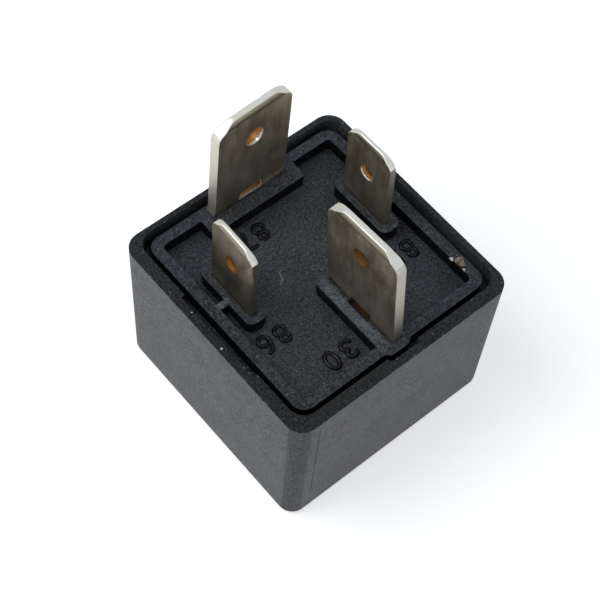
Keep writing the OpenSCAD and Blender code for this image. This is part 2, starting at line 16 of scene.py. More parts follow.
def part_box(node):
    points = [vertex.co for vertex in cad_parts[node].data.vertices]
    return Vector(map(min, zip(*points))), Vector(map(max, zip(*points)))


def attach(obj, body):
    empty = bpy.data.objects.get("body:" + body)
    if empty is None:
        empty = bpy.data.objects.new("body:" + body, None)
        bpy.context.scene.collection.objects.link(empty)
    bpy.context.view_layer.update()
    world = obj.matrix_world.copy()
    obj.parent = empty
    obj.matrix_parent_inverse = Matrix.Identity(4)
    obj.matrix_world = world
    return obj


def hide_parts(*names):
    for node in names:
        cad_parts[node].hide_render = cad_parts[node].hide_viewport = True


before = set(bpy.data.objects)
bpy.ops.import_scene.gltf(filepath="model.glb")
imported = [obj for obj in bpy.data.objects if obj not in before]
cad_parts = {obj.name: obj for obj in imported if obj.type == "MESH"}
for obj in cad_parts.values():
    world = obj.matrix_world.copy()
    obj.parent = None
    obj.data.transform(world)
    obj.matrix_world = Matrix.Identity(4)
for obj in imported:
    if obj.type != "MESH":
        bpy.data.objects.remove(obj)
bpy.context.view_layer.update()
scene = bpy.context.scene
scene.view_settings.view_transform = "Standard"
MM = 0.001  # one millimetre, in Blender's metres
print("pieces from the solids:", sorted(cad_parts))

# %% [markdown]
# The camera looks down on one corner of the cover from a hand's length away, so the
# perspective is strong and the blades lean outwards. It is also turned by 6 degrees about
# its line of sight, as a camera in the hand is, which tilts every upright edge a little.
# Blender has no direct setting for such a roll, so the camera's three axes are worked out
# here and put into its matrix.

# %% Camera
CAMERA_AT = Vector((-0.063565, -0.061324, 0.157488))
CAMERA_TARGET = Vector((-0.000761, 0.001051, 0.012))
CAMERA_ROLL = math.radians(6.088)
CAMERA_LENS = 97.8
SENSOR_WIDTH = 36


def aim_camera(name, at, target, roll):
    """A camera at one point that looks at another. Its right and up axes are turned by roll:
    right' = cos(roll) right + sin(roll) up, and up' = cos(roll) up - sin(roll) right."""
    ahead = (target - at).normalized()
    right = ahead.cross(Vector((0, 0, 1))).normalized()
    up = right.cross(ahead)
    right, up = (
        math.cos(roll) * right + math.sin(roll) * up,
        math.cos(roll) * up - math.sin(roll) * right,
    )
    camera = bpy.data.objects.new(name, bpy.data.cameras.new(name))
    scene.collection.objects.link(camera)
    camera.matrix_world = Matrix(
        [[right[i], up[i], -ahead[i], at[i]] for i in range(3)] + [[0, 0, 0, 1]]
    )
    camera.data.sensor_width = SENSOR_WIDTH
    camera.data.lens = CAMERA_LENS
    camera.data.clip_start = 0.01
    return camera


scene.camera = aim_camera("camera", CAMERA_AT, CAMERA_TARGET, CAMERA_ROLL)
print("camera distance, mm:", round((CAMERA_AT - CAMERA_TARGET).length / MM, 1))

# %% [markdown]
# A few short helpers keep the node trees readable: one adds a node and sets its plain
# inputs, one joins two sockets, and a few more stand for the sums, fades and blends that come
# back all the time. So a line that reads like a formula makes the nodes of that formula.

# %% Helpers for node trees


def add_node(tree, kind, settings=None, **inputs):
    """A new node of that kind; settings are its properties, inputs its socket values."""
    node = tree.nodes.new("ShaderNode" + kind)
    for name, value in (settings or {}).items():
        setattr(node, name, value)
    for name, value in inputs.items():
        node.inputs[name.replace("_", " ")].default_value = value
    return node


def join(tree, source, target):
    """Links an output socket to an input socket."""
    tree.links.new(source, target)


def math_node(tree, operation, a, b=None, c=None):
    """One Math node; a, b and c are sockets or plain numbers. Returns its output socket."""
    node = add_node(tree, "Math", {"operation": operation})
    for index, value in enumerate((a, b, c)):
        if isinstance(value, bpy.types.NodeSocket):
            join(tree, value, node.inputs[index])
        elif value is not None:
            node.inputs[index].default_value = value
    return node.outputs[0]


def times(tree, a, b):
    """The product of two sockets, or of a socket and a number."""
    return math_node(tree, "MULTIPLY", a, b)


def weighted_sum(tree, *terms):
    """The sum of value * weight over the terms, which are (socket, weight) pairs."""
    total = times(tree, *terms[0])
    for term in terms[1:]:
        total = math_node(tree, "ADD", total, times(tree, *term))
    return total


def fade(tree, value, low, high, out_low=0.0, out_high=1.0):
    """Smoothly carries value from out_low, at low, to out_high, at high."""
    node = add_node(tree, "MapRange", {"interpolation_type": "SMOOTHSTEP"})
    join(tree, value, node.inputs["Value"])
    ends = (("From Min", low), ("From Max", high), ("To Min", out_low), ("To Max", out_high))
    for name, number in ends:
        node.inputs[name].default_value = number
    return node.outputs["Result"]


def blend_colour(tree, share, a, b):
    """Colour a where share is 0 and b where it is 1. Each is a socket or a colour."""
    node = add_node(tree, "Mix", {"data_type": "RGBA"})
    join(tree, share, node.inputs["Factor"])
    for key, value in (("A", a), ("B", b)):
        socket = [s for s in node.inputs if s.name == key and s.type == "RGBA"][0]
        if isinstance(value, bpy.types.NodeSocket):
            join(tree, value, socket)
        else:
            socket.default_value = (*value, 1)
    return [s for s in node.outputs if s.type == "RGBA"][0]


def corner_value(tree, name):
    """The value of a mesh attribute, such as one made at the corners of the faces."""
    return add_node(tree, "Attribute", {"attribute_name": name}).outputs["Fac"]


print("node helpers:", add_node.__name__, join.__name__, fade.__name__, blend_colour.__name__)

# %% [markdown]
# Every material starts from the coordinates of the object itself, so its pattern stays on the
# piece in any view and at any pose. An effect that several materials share is a node group,
# built once and placed wherever it is needed.

# %% Helpers for materials and groups


def new_material(name):
    """A material with its tree, its Principled BSDF and the object's own coordinates."""
    material = bpy.data.materials.new(name)
    material.use_nodes = True
    tree = material.node_tree
    place = tree.nodes.new("ShaderNodeTexCoord").outputs["Object"]
    return material, tree, tree.nodes["Principled BSDF"], place


def new_group(name, inputs, outputs):
    """A shader node group. inputs and outputs are lists of (name, socket type, value)."""
    group = bpy.data.node_groups.new(name, "ShaderNodeTree")
    for title, kind, value in inputs:
        socket = group.interface.new_socket(name=title, in_out="INPUT", socket_type=kind)
        if value is not None:
            socket.default_value = value
    for title, kind, _ in outputs:
        group.interface.new_socket(name=title, in_out="OUTPUT", socket_type=kind)
    return group, group.nodes.new("NodeGroupInput"), group.nodes.new("NodeGroupOutput")


def use_group(tree, group, **inputs):
    """Places a group in a tree. Inputs are sockets or plain values; _ stands for a space."""
    node = tree.nodes.new("ShaderNodeGroup")
    node.node_tree = group
    for name, value in inputs.items():
        socket = node.inputs[name.replace("_", " ")]
        if isinstance(value, bpy.types.NodeSocket):
            join(tree, value, socket)
        else:
            socket.default_value = value
    return node


print("material helpers:", new_material.__name__, new_group.__name__, use_group.__name__)

# %% [markdown]
# A white background doesn't need more light on the object. The floor and the world look at
# the kind of ray that meets them: they are lifted to white for rays from the camera, have
# their own strength in mirrors, and give light at a third one.

# %% Strength by kind of ray


def strength_by_ray(tree, seen_strength, mirrored, other):
    """seen_strength for rays from the camera or through glass, mirrored for those that come
    off a mirror, and other for the rest, which carry the light."""
    ray = tree.nodes.new("ShaderNodeLightPath")
    straight = math_node(tree, "MAXIMUM", ray.outputs["Is Camera Ray"],
                         ray.outputs["Is Transmission Ray"])
    unseen = fade(tree, ray.outputs["Is Glossy Ray"], 0, 1, other, mirrored)
    node = add_node(tree, "Mix", {"data_type": "FLOAT"})
    join(tree, straight, node.inputs["Factor"])
    join(tree, unseen, node.inputs["A"])
    node.inputs["B"].default_value = seen_strength
    return node.outputs["Result"]


print("rays told apart: seen, mirrored, other")

# %% [markdown]
# The floor is plain and nearly white, and keeps the relay's soft shadow. Black plastic shows
# little colour of its own: from above, the upright walls of the cover mirror this pale floor
# at a flat angle and turn grey, while the walls inside the base mirror only black plastic and
# stay black. The world behind the floor is white as well, and a little bluish in mirrors.

# %% Floor and world
FLOOR_SIZE = 1.6
FLOOR_COLOUR = (0.86, 0.86, 0.86, 1)
FLOOR_GLOW = 0.62
WORLD_LIGHT = 0.22
MIRRORED_WORLD = 1.0
SKY_TINT = (0.80, 0.89, 1.0)


def make_floor(size):
    """One square face, size wide, at the height z = 0 on which the relay stands."""
    mesh = bpy.data.meshes.new("floor")
    half = size / 2
    corners = [(-half, -half, 0), (half, -half, 0), (half, half, 0), (-half, half, 0)]
    mesh.from_pydata(corners, [], [(0, 1, 2, 3)])
    sheet = bpy.data.objects.new("floor", mesh)
    scene.collection.objects.link(sheet)
    return sheet


def floor_material():
    """Matt off-white, lifted by FLOOR_GLOW where it is seen or mirrored."""
    material, tree, surface, _ = new_material("floor_paper")
    surface.inputs["Base Color"].default_value = FLOOR_COLOUR
    surface.inputs["Roughness"].default_value = 0.9
    glow = tree.nodes.new("ShaderNodeEmission")
    join(tree, strength_by_ray(tree, FLOOR_GLOW, FLOOR_GLOW, 0.0), glow.inputs["Strength"])
    both = tree.nodes.new("ShaderNodeAddShader")
    join(tree, surface.outputs[0], both.inputs[0])
    join(tree, glow.outputs[0], both.inputs[1])
    join(tree, both.outputs[0], tree.nodes["Material Output"].inputs["Surface"])
    return material


def make_world():
    """White to the camera; tinted like the sky, at its own strength, in mirrors and as light."""
    world = bpy.data.worlds.new("studio")
    scene.world = world
    world.use_nodes = True
    tree = world.node_tree
    back = tree.nodes["Background"]
    ray = tree.nodes.new("ShaderNodeLightPath")
    tint = blend_colour(tree, ray.outputs["Is Camera Ray"], SKY_TINT, (1, 1, 1))
    join(tree, tint, back.inputs["Color"])
    join(tree, strength_by_ray(tree, 1.0, MIRRORED_WORLD, WORLD_LIGHT), back.inputs["Strength"])
    return world


floor = make_floor(FLOOR_SIZE)
floor.data.materials.append(floor_material())
make_world()
print("floor:", FLOOR_SIZE, "m wide; world:", scene.world.name)

# %% [markdown]
# One broad bluish lamp, high on the left and towards the back, plays the window: it whitens
# the chamfer of blade 87 and lays the shadow to the right. Two weak warm lamps fill the sides.

# %% Lamps
WARM = (1, 0.98, 0.94)
BLUISH = (0.92, 0.96, 1)


def soft_lamp(name, at, height, size, watts, colour):
    """A square area lamp, size wide, that faces the point at that height in the relay."""
    lamp = bpy.data.objects.new(name, bpy.data.lights.new(name, "AREA"))
    scene.collection.objects.link(lamp)
    lamp.data.shape = "SQUARE"
    lamp.data.size = size
    lamp.data.energy = watts
    lamp.data.color = colour
    lamp.location = at
    aim = Vector((0, 0, height)) - Vector(at)
    lamp.rotation_euler = aim.to_track_quat("-Z", "Y").to_euler()
    return lamp


soft_lamp("lamp_window", (-0.18, 0.13, 0.37), height=0.018, size=0.22, watts=0.72, colour=BLUISH)
soft_lamp("lamp_left", (-0.38, 0.02, 0.14), height=0.012, size=0.16, watts=0.16, colour=WARM)
soft_lamp("lamp_right", (0.05, -0.38, 0.12), height=0.012, size=0.16, watts=0.12, colour=WARM)

# %% [markdown]
# Glass-filled plastic never looks even: short fibres lie just under the skin, so its black
# is mottled, and single fibre ends and grains of dust catch the light as tiny pale specks;
# these specks are painted into the colour, as painted glints.
# One node group makes all of that from the place on the object, so both mouldings share it,
# and the metals borrow its mottle. The group has named inputs, so each material places it
# with a size of its own.

# %% Shared effect: the grain of filled plastic
TOOTH_PER_MM = 6.5
FIBRES_PER_MM = 2.6
SPECK_REACH = 0.30


def build_grain_group():
    """Noises of falling size give a mottle and a fine tooth. Each cell of a Voronoi texture
    has three random numbers: one says whether it holds a speck, one how far the speck
    reaches from the cell's middle, and one how bright it is."""
    group, given, made = new_group(
        "filled_grain",
        [("Vector", "NodeSocketVector", None), ("Mottle size", "NodeSocketFloat", 0.5),
         ("Speck share", "NodeSocketFloat", 0.5)],
        [("Mottle", "NodeSocketFloat", None), ("Tooth", "NodeSocketFloat", None),
         ("Specks", "NodeSocketFloat", None)],
    )
    in_mm = add_node(group, "VectorMath", {"operation": "SCALE"}, Scale=1 / MM)
    join(group, given.outputs["Vector"], in_mm.inputs[0])
    per_size = math_node(group, "DIVIDE", 1.0, given.outputs["Mottle size"])
    mottle = add_node(group, "TexNoise", Detail=4.0, Roughness=0.62)
    join(group, in_mm.outputs[0], mottle.inputs["Vector"])
    join(group, per_size, mottle.inputs["Scale"])
    tooth = add_node(group, "TexNoise", Scale=TOOTH_PER_MM, Detail=3.0, Roughness=0.7)
    join(group, in_mm.outputs[0], tooth.inputs["Vector"])
    cells = add_node(group, "TexVoronoi", Scale=FIBRES_PER_MM, Randomness=1.0)
    join(group, in_mm.outputs[0], cells.inputs["Vector"])
    chosen = add_node(group, "SeparateColor")
    join(group, cells.outputs["Color"], chosen.inputs[0])
    limit = math_node(group, "SUBTRACT", 1.0, given.outputs["Speck share"])
    some = math_node(group, "GREATER_THAN", chosen.outputs[0], limit)
    reach = times(group, chosen.outputs[1], SPECK_REACH)
    inside = math_node(group, "LESS_THAN", cells.outputs["Distance"], reach)
    specks = times(group, times(group, some, inside), chosen.outputs[2])
    join(group, fade(group, mottle.outputs["Fac"], 0.3, 0.7), made.inputs["Mottle"])
    join(group, fade(group, tooth.outputs["Fac"], 0.3, 0.7), made.inputs["Tooth"])
    join(group, specks, made.inputs["Specks"])
    return group


filled_grain = build_grain_group()
print("group:", filled_grain.name, [s.name for s in filled_grain.interface.items_tree])

# %% [markdown]
# A hairline mark, such as a scratch or the witness line of a mould insert, is a long narrow
# patch. This group takes coordinates that a Mapping node has centred and turned on the mark,
# and puts out 1 inside its half length and half width, with soft ends.

# %% Shared effect: a hairline mark
MARK_DEPTH = 0.3 * MM


def build_hairline_group():
    """Mask = soft(|x| / half length) * soft(|y| / half width) * (|z| < MARK_DEPTH), where
    soft falls from 1 to 0 as its share nears 1."""
    group, given, made = new_group(
        "hairline",
        [("Vector", "NodeSocketVector", None), ("Half length", "NodeSocketFloat", 1.0),
         ("Half width", "NodeSocketFloat", 0.04)],
        [("Mask", "NodeSocketFloat", None)],
    )
    axes = group.nodes.new("ShaderNodeSeparateXYZ")
    join(group, given.outputs["Vector"], axes.inputs[0])
    shares = [
        math_node(group, "DIVIDE", math_node(group, "ABSOLUTE", axes.outputs[i]),
                  given.outputs[name])
        for i, name in ((0, "Half length"), (1, "Half width"))
    ]
    depth = math_node(group, "ABSOLUTE", axes.outputs[2])
    near = math_node(group, "LESS_THAN", depth, MARK_DEPTH)
    along = fade(group, shares[0], 0.6, 1.0, 1.0, 0.0)
    across = fade(group, shares[1], 0.4, 1.0, 1.0, 0.0)
    join(group, times(group, times(group, along, across), near), made.inputs["Mask"])
    return group


hairline = build_hairline_group()


def hairline_mask(tree, place, centre, turn, half_length, half_width):
    """The mask of one mark: centre in millimetres, turn in degrees about X, Y and Z."""
    mapping = add_node(tree, "Mapping", {"vector_type": "TEXTURE"})
    mapping.inputs["Location"].default_value = [c * MM for c in centre]
    mapping.inputs["Rotation"].default_value = [math.radians(a) for a in turn]
    join(tree, place, mapping.inputs["Vector"])
    mark = use_group(tree, hairline, Vector=mapping.outputs[0],
                     Half_length=half_length * MM, Half_width=half_width * MM)
    return mark.outputs["Mask"]


print("group:", hairline.name)

# %% [markdown]
# The cover and the base are the same family of black nylon, but the base shows a bluish
# sheen on its flat deck, and the cover's walls are greyer. Such plastic has almost no colour
# of its own: what is seen is how strongly each spot mirrors the room. So the grain drives the
# specular level as well as the colour, which looks truer here than a bump alone would. The
# bluish sheen of the deck is also painted into the base's colours, as a bluish tint.
#
# Attributes at the corners of the faces, made further down, say what lies where: rounded is a
# rounded edge, rim the cover's open edge, corner its upright corners, sunk_floor the floor of
# the base and side the base's upright walls. Each place changes the shine by a factor. Three
# also change the colour: a rounded edge is rubbed a little smoother and lightened as a painted
# highlight, and the rim and the base's upright walls are darkened as painted shade.

# %% Black plastics
GRAIN_SIZE = 0.30
BLOTCH_SIZE = 3.5
TONE_PARTS = (0.38, 0.52, 0.1)
SHINE = (0.24, 0.86)
SHINE_FACTORS = {"rim": 0.55, "corner": 0.6, "sunk_floor": 1.4, "side": 0.2}
WIDE_MARK = 0.3


def plastic_material(name, dark, light, speck_share, speck_and_glint_colour, marks):
    """Mottled black plastic. tone = mottle, tooth and blotches in TONE_PARTS; it carries the
    colour from dark to light and the specular level through SHINE. Each mark is a hairline's
    centre, turn, half length, half width, colour, and the shine it takes away; a mark wider
    than WIDE_MARK is patchy. Most marks are scratches and wear; one is a painted sheen."""
    material, tree, surface, place = new_material(name)
    grain = use_group(tree, filled_grain, Vector=place, Mottle_size=GRAIN_SIZE,
                      Speck_share=speck_share)
    wide = use_group(tree, filled_grain, Vector=place, Mottle_size=BLOTCH_SIZE, Speck_share=0.0)
    mottle, tooth = grain.outputs["Mottle"], grain.outputs["Tooth"]
    tone = weighted_sum(tree, *zip((mottle, tooth, wide.outputs["Mottle"]), TONE_PARTS))
    rub_and_highlight = corner_value(tree, "rounded")
    here = {title: corner_value(tree, title) for title in SHINE_FACTORS}

    colour = blend_colour(tree, tone, dark, light)
    # Painted highlight: rounded edges are lightened towards twice the light colour.
    edge_highlight_share = times(tree, rub_and_highlight, math_node(tree, "MULTIPLY_ADD", mottle, 0.25, 0.5))
    colour = blend_colour(tree, edge_highlight_share, colour, [2 * c for c in light])
    # Painted shade: the cover's rim, which looks up, is darkened towards the dark colour.
    colour = blend_colour(tree, times(tree, here["rim"], 0.8), colour, dark)
    # Painted glints: pale specks, for fibre ends and dust that catch the light.
    colour = blend_colour(tree, grain.outputs["Specks"], colour, speck_and_glint_colour)
    # Painted shade: the base's upright walls, deep in the pockets, are darkened towards the dark
    # colour.
    colour = blend_colour(tree, here["side"], colour, dark)

    shine = fade(tree, tone, 0.25, 0.75, *SHINE)
    for title, factor in SHINE_FACTORS.items():
        shine = times(tree, shine, fade(tree, here[title], 0, 1, 1.0, factor))
    patchy = fade(tree, tone, 0.25, 0.7, 0.35, 1.0)
    for centre, turn, half_length, half_width, tint, dulled in marks:
        mask = hairline_mask(tree, place, centre, turn, half_length, half_width)
        if half_width > WIDE_MARK:
            mask = times(tree, mask, patchy)
        colour = blend_colour(tree, mask, colour, tint)
        shine = math_node(tree, "SUBTRACT", shine, times(tree, mask, dulled))
    join(tree, shine, surface.inputs["Specular IOR Level"])
    join(tree, colour, surface.inputs["Base Color"])

    rough = fade(tree, tooth, 0, 1, 0.32, 0.52)
    join(tree, math_node(tree, "SUBTRACT", rough, times(tree, rub_and_highlight, 0.08)),
         surface.inputs["Roughness"])
    bump = add_node(tree, "Bump", Strength=1.0, Distance=0.07 * MM)
    join(tree, weighted_sum(tree, (tooth, 1.0), (mottle, 0.6)), bump.inputs["Height"])
    join(tree, bump.outputs[0], surface.inputs["Normal"])
    return material


print("shine by place:", SHINE_FACTORS)

# %% [markdown]
# Now the two plastics themselves. The cover has one mark, the witness line of a mould insert
# down the wall by blade 30. The base has two scratches in the middle of its floor, a lighter
# bluish strip on the pad of blade 30 that is a painted sheen, where the pad mirrors the lit
# blade, and a rubbed web beside blade 86. The places are in millimetres, in the frame of the
# whole object.

# %% Finishes of the cover and the base
COVER_MARKS = [((-11.25, -13.9, 11.0), (90, 90, 0), 8.6, 0.08, (0.004, 0.004, 0.004), 0.4)]
BASE_MARKS = [
    ((-2.8, 2.1, 17.4), (0, 0, 72), 0.75, 0.08, (0.24, 0.25, 0.26), 0),
    ((-3.3, 1.5, 17.4), (0, 0, 40), 0.4, 0.07, (0.22, 0.23, 0.24), 0),
    # A painted sheen: the lighter bluish strip on the pad of blade 30.
    ((-0.72, -6.2, 19.0), (0, 0, 90), 5.6, 0.75, (0.14, 0.16, 0.185), 0),
    ((-10.2, 2.5, 18.8), (0, 0, 0), 0.8, 0.6, (0.17, 0.18, 0.19), 0),
]
cover_plastic = plastic_material(
    "cover_plastic", dark=(0.002, 0.002, 0.002), light=(0.060, 0.062, 0.066),
    speck_share=0.30, speck_and_glint_colour=(0.22, 0.23, 0.25), marks=COVER_MARKS)
# The base's bluish light colour and specks are a painted sheen of the bluish sky.
base_plastic = plastic_material(
    "base_plastic", dark=(0.001, 0.001, 0.002), light=(0.040, 0.046, 0.056),
    speck_share=0.42, speck_and_glint_colour=(0.34, 0.37, 0.42), marks=BASE_MARKS)
print("plastics:", cover_plastic.name, base_plastic.name)

# %% [markdown]
# The blades were punched out of tin-plated brass strip. Their faces keep the smooth rolled
# tin, a little tarnished and streaked along the blade, with painted shade that darkens them
# towards the foot; the cut edges are greyer and rougher; and inside the holes the punch smeared
# tin over the first part of the wall and tore bare brass behind it, which is painted darker
# the deeper it lies, as shade in the hole. Attributes made with the blades say what is a cut
# edge, a pressed bevel or a stretch darkened by stain on the faces and by painted shade on the
# edges, and how deep a point lies in a punched wall. The border between smeared tin and torn
# brass is ragged, because the tooth of the grain shifts it.

# %% Tin-plated brass
TIN = ((0.52, 0.42, 0.28), (0.90, 0.77, 0.57))
CUT_TIN = (0.66, 0.62, 0.53)
PRESSED_TIN = (0.30, 0.27, 0.19)
STAIN_AND_SHADE_TIN = (0.13, 0.118, 0.09)
FOOT_SHADE_TIN = (0.20, 0.16, 0.10)
SMEARED_TIN = (0.90, 0.87, 0.80)
TORN_BRASS_TO_SHADE = ((0.40, 0.17, 0.04), (0.07, 0.03, 0.012))
STREAK_STRETCH = (1, 1, 0.16)


def tinned_material():
    """Tin with streaks and stains on the faces, greyer cut edges, and brass in the holes."""
    material, tree, surface, place = new_material("tinned_brass")
    stretch = add_node(tree, "Mapping")
    stretch.inputs["Scale"].default_value = STREAK_STRETCH
    join(tree, place, stretch.inputs["Vector"])
    streak = use_group(tree, filled_grain, Vector=stretch.outputs[0], Mottle_size=0.7,
                       Speck_share=0.0)
    stain = use_group(tree, filled_grain, Vector=place, Mottle_size=2.6, Speck_share=0.12)
    tarnish = weighted_sum(tree, (streak.outputs["Mottle"], 0.45),
                           (stain.outputs["Mottle"], 0.55))
    cut = corner_value(tree, "cut_edge")
    colour = blend_colour(tree, tarnish, *TIN)
    colour = blend_colour(tree, cut, colour, CUT_TIN)
    colour = blend_colour(tree, corner_value(tree, "pressed"), colour, PRESSED_TIN)
    # Stain on the faces, and painted shade on the edges below the tip, darken the tin.
    colour = blend_colour(tree, corner_value(tree, "stain_and_edge_shade"), colour, STAIN_AND_SHADE_TIN)
    # Painted shade: the tin darkens towards the foot, near the black base.
    axes = tree.nodes.new("ShaderNodeSeparateXYZ")
    join(tree, place, axes.inputs[0])
    foot = fade(tree, axes.outputs["Z"], 19 * MM, 28 * MM, 0.4, 0.0)
    colour = blend_colour(tree, foot, colour, FOOT_SHADE_TIN)

    depth = corner_value(tree, "punched")
    punched = math_node(tree, "GREATER_THAN", depth, 0.001)
    ragged = math_node(tree, "MULTIPLY_ADD", streak.outputs["Tooth"], 0.16, 0.14)
    torn = math_node(tree, "GREATER_THAN", depth, ragged)
    # Painted shade: the torn brass darkens the deeper it lies in a hole.
    bare = blend_colour(tree, fade(tree, depth, 0.4, 1.0), *TORN_BRASS_TO_SHADE)
    colour = blend_colour(tree, punched, colour, SMEARED_TIN)
    colour = blend_colour(tree, torn, colour, bare)
    join(tree, colour, surface.inputs["Base Color"])
    surface.inputs["Metallic"].default_value = 1.0
    smooth = fade(tree, tarnish, 0, 1, 0.35, 0.41)
    join(tree, weighted_sum(tree, (smooth, 1.0), (cut, 0.12), (torn, 0.15)),
         surface.inputs["Roughness"])
    return material


tinned_brass = tinned_material()
print("metal:", tinned_brass.name)

# %% [markdown]
# The pieces inside are sealed in, but each still gets its own finish: natural nylon for the
# bobbin, enamelled wire wound in layers, nickel-plated iron for the magnet, rolled bronze for
# the springs, silver for the contacts and bare copper for the braid. Their CAD meshes stay as
# they are, and only the material is changed.

# %% Finishes of the pieces inside


def inner_material(name, dark, light, metallic, roughness, size, wires=0.0, axis="Z"):
    """A two-tone finish from the shared grain. wires is the pitch of wound wire, in metres, or
    0; it adds ridges, a wave of that length along axis."""
    material, tree, surface, place = new_material(name)
    grain = use_group(tree, filled_grain, Vector=place, Mottle_size=size, Speck_share=0.0)
    join(tree, blend_colour(tree, grain.outputs["Mottle"], dark, light),
         surface.inputs["Base Color"])
    surface.inputs["Metallic"].default_value = metallic
    join(tree, fade(tree, grain.outputs["Tooth"], 0, 1, roughness, roughness + 0.14),
         surface.inputs["Roughness"])
    height = math_node(tree, "MULTIPLY", grain.outputs["Tooth"], 0.3)
    bump = add_node(tree, "Bump", Strength=0.4, Distance=0.02 * MM)
    if wires:
        # A wave texture of scale 1 repeats about every pi / 10 units.
        wave = add_node(tree, "TexWave", {"bands_direction": axis}, Scale=math.pi / 10 / wires)
        join(tree, place, wave.inputs["Vector"])
        height = math_node(tree, "ADD", height, wave.outputs["Fac"])
        bump.inputs["Distance"].default_value = wires / 3
    join(tree, height, bump.inputs["Height"])
    join(tree, bump.outputs[0], surface.inputs["Normal"])
    return material


INNER = {
    "coil_bobbin": inner_material(
        "bobbin_nylon", (0.62, 0.59, 0.50), (0.72, 0.70, 0.62), 0.0, 0.45, 1.2),
    "coil_winding": inner_material(
        "enamelled_wire", (0.42, 0.13, 0.05), (0.62, 0.24, 0.09), 0.75, 0.28, 1.5,
        wires=0.16 * MM),
    "flex_braid": inner_material(
        "bare_braid", (0.60, 0.28, 0.15), (0.78, 0.42, 0.25), 1.0, 0.4, 0.3,
        wires=0.2 * MM, axis="DIAGONAL"),
}
iron = inner_material("nickel_iron", (0.44, 0.44, 0.43), (0.56, 0.55, 0.53), 1.0, 0.3, 0.9)
bronze = inner_material("rolled_bronze", (0.62, 0.40, 0.20), (0.74, 0.51, 0.28), 1.0, 0.26, 0.6)
silver = inner_material("contact_silver", (0.78, 0.77, 0.74), (0.88, 0.87, 0.85), 1.0, 0.18, 0.4)
for node in ("core", "yoke", "armature", "back_stop", "armature_rivets", "yoke_rivets"):
    INNER[node] = iron
for node in ("contact_leaf", "hinge_spring"):
    INNER[node] = bronze
for node in ("moving_contact", "fixed_contact"):
    INNER[node] = silver


def paint(piece, material):
    """Makes material the only finish of a piece."""
    piece.data.materials.clear()
    piece.data.materials.append(material)


for node, material in INNER.items():
    paint(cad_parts[node], material)
print("finishes inside:", len(INNER))

# %% [markdown]
# No moulded or punched edge is truly sharp. The solids have plain corners, so the seen pieces
# are copied, their triangles joined into whole faces, and their edges rounded by a tenth of
# a millimetre or so. A thin bright line then runs along each edge, as on the real relay. A
# Bevel modifier could do it too, but in bmesh each edge can be chosen by where it lies.
# Working in millimetres keeps Blender's own tolerances far below the sizes that matter.

# %% Rounded copies of the seen pieces
FLAT = math.radians(0.4)
SHARP = math.radians(34)
SAME_POINT = 0.0005
deck_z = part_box("base_plate")[1].z / MM
rim_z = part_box("cover")[1].z / MM


def whole_faces(node):
    """A bmesh, in millimetres, of a CAD node: corners joined, and flat areas made one face."""
    shape = bmesh.new()
    shape.from_mesh(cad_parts[node].data)
    bmesh.ops.scale(shape, vec=(1 / MM,) * 3, verts=shape.verts)
    bmesh.ops.remove_doubles(shape, verts=shape.verts, dist=SAME_POINT)
    bmesh.ops.dissolve_limit(shape, angle_limit=FLAT, verts=shape.verts, edges=shape.edges,
                             delimit={"NORMAL"})
    return shape


def lower_end(edge):
    """Height of the lower end of an edge, in millimetres."""
    return min(v.co.z for v in edge.verts)


def round_edges(shape, radius, chosen, segments=2):
    """Rounds each outer edge that chosen(edge) picks, and returns how many. The new faces get
    the corner attribute rounded = 1, and all others 0."""
    rub_and_highlight = shape.loops.layers.float.new("rounded")
    edges = [
        e for e in shape.edges
        if len(e.link_faces) == 2 and e.is_convex and e.calc_face_angle(0) > SHARP and chosen(e)
    ]
    made = bmesh.ops.bevel(shape, geom=edges, offset=radius, segments=segments, profile=0.5,
                           affect="EDGES", clamp_overlap=True, offset_type="OFFSET")
    for face in made["faces"]:
        for loop in face.loops:
            loop[rub_and_highlight] = 1.0
    shape.normal_update()
    return len(edges)


def mark_faces(shape, name, chosen):
    """A corner attribute that is 1 on the faces for which chosen(normal, middle) holds."""
    layer = shape.loops.layers.float.new(name)
    for face in shape.faces:
        share = float(chosen(face.normal, face.calc_center_median()))
        for loop in face.loops:
            loop[layer] = share


print("deck at", round(deck_z, 2), "mm, rim at", round(rim_z, 2), "mm")

# %% [markdown]
# A finished copy goes back to metres, and stands for its node from then on. Smooth shading
# alone would make the large flat faces look swollen beside their narrow rounded edges. The
# Weighted Normal modifier lets the large faces decide, so they look flat and only the
# rounding itself is curved. It is applied at once, so that the piece is a plain mesh with
# its normals stored in it.

# %% Finish a copy
SMOOTH_BELOW = math.radians(50)
LARGE_FACES_WEIGH = 90


def finish_copy(name, shape, node, material, bend=None):
    """Turns the bmesh into a piece in metres that stands for the node. bend, if there is one,
    moves all the points at once: it takes and gives an (n, 3) array in millimetres."""
    mesh = bpy.data.meshes.new(name)
    shape.to_mesh(mesh)
    shape.free()
    points = np.empty(len(mesh.vertices) * 3)
    mesh.vertices.foreach_get("co", points)
    points = points.reshape(-1, 3)
    if bend:
        points = bend(points)
    mesh.vertices.foreach_set("co", (points * MM).ravel())
    mesh.update()
    mesh.polygons.foreach_set("use_smooth", np.ones(len(mesh.polygons), bool))
    mesh.set_sharp_from_angle(angle=SMOOTH_BELOW)
    piece = bpy.data.objects.new(name, mesh)
    scene.collection.objects.link(piece)
    weigh = piece.modifiers.new("weighted_normals", "WEIGHTED_NORMAL")
    weigh.keep_sharp = True
    weigh.weight = LARGE_FACES_WEIGH
    view = bpy.context.evaluated_depsgraph_get()
    settled = bpy.data.meshes.new_from_object(piece.evaluated_get(view), depsgraph=view)
    piece.modifiers.clear()
    piece.data = settled
    paint(piece, material)
    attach(piece, "housing")
    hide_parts(node)
    return piece


# %% [markdown]
# The cover is rounded round its rim, and the base on the deck, the pads and the border, down
# to the floor. Their faces are told apart by which way they look and how high they lie: the
# rim looks up, a corner's faces look along neither X nor Y, and the sunk floor looks up from
# below the deck.

